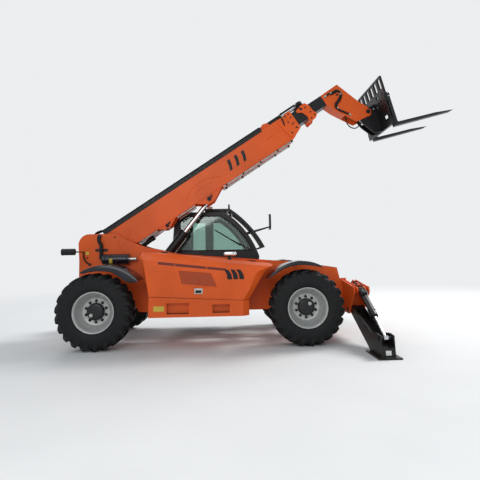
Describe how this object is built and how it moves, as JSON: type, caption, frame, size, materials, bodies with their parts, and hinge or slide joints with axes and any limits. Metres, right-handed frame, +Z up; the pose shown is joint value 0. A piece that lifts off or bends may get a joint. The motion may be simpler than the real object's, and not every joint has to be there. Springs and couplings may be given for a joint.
{
  "type": "telehandler",
  "caption": "Telescopic handler with a raised sectioned boom, gooseneck head and pallet forks, offset cab, side engine pod, steered wheels and front stabilisers",
  "frame": {"origin": "on the ground, in the middle of the machine's length and width as it stands", "axes": "+X forward along the machine, +Y to the machine's left, where the cab is, +Z up"},
  "size_m": [7.0906, 4.3, 4.8301],
  "materials": {
    "orange_paint": "gloss paint",
    "black_paint": "satin paint",
    "silver_paint": "satin paint",
    "dark_casting": "painted casting",
    "tyre": "matte rubber",
    "black_plastic": "matte",
    "chrome": "polished",
    "glass": "tinted"
  },
  "bodies": {
    "machine": {"chassis_frame": "orange_paint", "axle_front": "dark_casting", "axle_rear": "dark_casting", "driveline": "dark_casting", "fenders": "black_plastic", "pod_base": "orange_paint", "engine_block": "dark_casting", "cab_shell": "black_paint", "cab_glass": "glass", "seat": "black_plastic", "steering_console": "black_plastic", "steering_wheel": "black_plastic", "side_tank": "black_paint", "roof_guard": "black_paint", "screen_guard": "black_paint", "lamps": "black_plastic", "mirrors": "black_paint", "air_cleaner": "black_plastic", "hoses": "black_plastic"},
    "hood": {"engine_hood": "orange_paint", "hood_mirror": "silver_paint"},
    "door": {"cab_door": "black_paint", "door_glass": "glass"},
    "boom": {"boom_outer": "orange_paint", "boom_cover": "black_plastic", "extension_cylinder": "black_paint"},
    "middle_section": {"boom_middle": "black_paint", "middle_collar": "orange_paint", "extension_rod": "chrome"},
    "inner_section": {"boom_inner": "black_paint", "boom_head": "orange_paint"},
    "carriage": {"fork_carriage": "black_paint", "forks": "black_paint"},
    "lift_barrel": {"lift_cylinder": "black_paint"},
    "lift_piston": {"lift_rod": "chrome"},
    "levelling_barrel": {"levelling_cylinder": "black_paint"},
    "levelling_piston": {"levelling_rod": "chrome"},
    "tilt_barrel": {"tilt_cylinder": "black_paint"},
    "tilt_piston": {"tilt_rod": "chrome"},
    "knuckle_front_left": {"knuckle_front_left": "dark_casting"},
    "wheel_front_left": {"tyre_front_left": "tyre", "rim_front_left": "silver_paint"},
    "knuckle_front_right": {"knuckle_front_right": "dark_casting"},
    "wheel_front_right": {"tyre_front_right": "tyre", "rim_front_right": "silver_paint"},
    "knuckle_rear_left": {"knuckle_rear_left": "dark_casting"},
    "wheel_rear_left": {"tyre_rear_left": "tyre", "rim_rear_left": "silver_paint"},
    "knuckle_rear_right": {"knuckle_rear_right": "dark_casting"},
    "wheel_rear_right": {"tyre_rear_right": "tyre", "rim_rear_right": "silver_paint"},
    "stabiliser_left": {"stabiliser_leg_left": "black_paint"},
    "stabiliser_left_barrel": {"stabiliser_cylinder_left": "black_paint"},
    "stabiliser_left_piston": {"stabiliser_rod_left": "chrome"},
    "stabiliser_right": {"stabiliser_leg_right": "black_paint"},
    "stabiliser_right_barrel": {"stabiliser_cylinder_right": "black_paint"},
    "stabiliser_right_piston": {"stabiliser_rod_right": "chrome"}
  },
  "joints": [
    {"name": "boom_lift", "type": "hinge", "parent": "machine", "child": "boom", "pos_m": [-3.03, 0, 1.63], "axis": [0, -1, 0], "range_deg": [-35.4, 34.6]},
    {"name": "boom_extend", "type": "slide", "parent": "boom", "child": "middle_section", "axis": [0.8348, 0, 0.5505], "range_m": [0, 3.45]},
    {"name": "inner_extend", "type": "slide", "parent": "middle_section", "child": "inner_section", "axis": [0.8348, 0, 0.5505], "range_m": [0, 3.45]},
    {"name": "carriage_tilt", "type": "hinge", "parent": "inner_section", "child": "carriage", "pos_m": [2.07562, 0, 4.27784], "axis": [0, -1, 0], "range_deg": [-80, 20]},
    {"name": "lift_swing", "type": "hinge", "parent": "machine", "child": "lift_barrel", "pos_m": [-2.37, 0, 0.912], "axis": [0, -1, 0], "range_deg": [-33.8, 33.05]},
    {"name": "lift_stroke", "type": "slide", "parent": "lift_barrel", "child": "lift_piston", "axis": [0.6176, 0, 0.7865], "range_m": [-0.5784, 0.5654]},
    {"name": "levelling_swing", "type": "hinge", "parent": "machine", "child": "levelling_barrel", "pos_m": [-2.74, 0, 1.41], "axis": [0, -1, 0], "range_deg": [-39.36, 38.49]},
    {"name": "levelling_stroke", "type": "slide", "parent": "levelling_barrel", "child": "levelling_piston", "axis": [0.8002, 0, 0.5998], "range_m": [-0.202, 0.1975]},
    {"name": "tilt_swing", "type": "hinge", "parent": "inner_section", "child": "tilt_barrel", "pos_m": [1.46717, 0, 4.61929], "axis": [0, -1, 0], "range_deg": [-1.34, 2.37]},
    {"name": "tilt_stroke", "type": "slide", "parent": "tilt_barrel", "child": "tilt_piston", "axis": [0.717, 0, -0.697], "range_m": [-0.2576, 0.0674]},
    {"name": "hood_open", "type": "hinge", "parent": "machine", "child": "hood", "pos_m": [-2.19, -0.345, 1.59], "axis": [-0.9939, 0, 0.1101], "range_deg": [0, 55]},
    {"name": "door_open", "type": "hinge", "parent": "machine", "child": "door", "pos_m": [-1.557, 1.203, 1.5], "axis": [0, 0, 1], "range_deg": [0, 80]},
    {"name": "steer_front_left", "type": "hinge", "parent": "machine", "child": "knuckle_front_left", "pos_m": [0.55, 0.79, 0.61877], "axis": [0, 0, 1], "range_deg": [-30, 30]},
    {"name": "spin_front_left", "type": "hinge", "parent": "knuckle_front_left", "child": "wheel_front_left", "pos_m": [0.55, 1, 0.61877], "axis": [0, 1, 0], "continuous": true},
    {"name": "steer_front_right", "type": "hinge", "parent": "machine", "child": "knuckle_front_right", "pos_m": [0.55, -0.79, 0.61877], "axis": [0, 0, 1], "range_deg": [-30, 30]},
    {"name": "spin_front_right", "type": "hinge", "parent": "knuckle_front_right", "child": "wheel_front_right", "pos_m": [0.55, -1, 0.61877], "axis": [0, 1, 0], "continuous": true},
    {"name": "steer_rear_left", "type": "hinge", "parent": "machine", "child": "knuckle_rear_left", "pos_m": [-2.92, 0.79, 0.61877], "axis": [0, 0, 1], "range_deg": [-30, 30]},
    {"name": "spin_rear_left", "type": "hinge", "parent": "knuckle_rear_left", "child": "wheel_rear_left", "pos_m": [-2.92, 1, 0.61877], "axis": [0, 1, 0], "continuous": true},
    {"name": "steer_rear_right", "type": "hinge", "parent": "machine", "child": "knuckle_rear_right", "pos_m": [-2.92, -0.79, 0.61877], "axis": [0, 0, 1], "range_deg": [-30, 30]},
    {"name": "spin_rear_right", "type": "hinge", "parent": "knuckle_rear_right", "child": "wheel_rear_right", "pos_m": [-2.92, -1, 0.61877], "axis": [0, 1, 0], "continuous": true},
    {"name": "stabiliser_raise_left", "type": "hinge", "parent": "machine", "child": "stabiliser_left", "pos_m": [1.5, 0.67, 0.52], "axis": [1, 0, 0], "range_deg": [0, 60]},
    {"name": "stabiliser_left_swing", "type": "hinge", "parent": "machine", "child": "stabiliser_left_barrel", "pos_m": [1.5, 0.97, 0.875], "axis": [1, 0, 0], "range_deg": [-1, 77.22]},
    {"name": "stabiliser_left_stroke", "type": "slide", "parent": "stabiliser_left_barrel", "child": "stabiliser_left_piston", "axis": [0, 0.8579, -0.5139], "range_m": [-0.3567, 0.004]},
    {"name": "stabiliser_raise_right", "type": "hinge", "parent": "machine", "child": "stabiliser_right", "pos_m": [1.5, -0.67, 0.52], "axis": [-1, 0, 0], "range_deg": [0, 60]},
    {"name": "stabiliser_right_swing", "type": "hinge", "parent": "machine", "child": "stabiliser_right_barrel", "pos_m": [1.5, -0.97, 0.875], "axis": [-1, 0, 0], "range_deg": [-1, 77.22]},
    {"name": "stabiliser_right_stroke", "type": "slide", "parent": "stabiliser_right_barrel", "child": "stabiliser_right_piston", "axis": [0, -0.8579, -0.5139], "range_m": [-0.3567, 0.004]}
  ],
  "couplings": [
    {"joint": "inner_extend", "follows": "boom_extend", "ratio": 1},
    {"joint": "lift_swing", "follows": "boom_lift", "ratio": 0.9264},
    {"joint": "lift_stroke", "follows": "boom_lift", "m_per_rad": 0.9297},
    {"joint": "levelling_swing", "follows": "boom_lift", "ratio": 1.0836},
    {"joint": "levelling_stroke", "follows": "boom_lift", "m_per_rad": 0.3204},
    {"joint": "tilt_swing", "follows": "carriage_tilt", "ratio": -0.0171},
    {"joint": "tilt_stroke", "follows": "carriage_tilt", "m_per_rad": 0.1816},
    {"joint": "steer_front_right", "follows": "steer_front_left", "ratio": 1},
    {"joint": "steer_rear_right", "follows": "steer_rear_left", "ratio": 1},
    {"joint": "stabiliser_left_swing", "follows": "stabiliser_raise_left", "ratio": 1.2704},
    {"joint": "stabiliser_left_stroke", "follows": "stabiliser_raise_left", "m_per_rad": -0.3368},
    {"joint": "stabiliser_right_swing", "follows": "stabiliser_raise_right", "ratio": 1.2704},
    {"joint": "stabiliser_right_stroke", "follows": "stabiliser_raise_right", "m_per_rad": -0.3368}
  ]
}
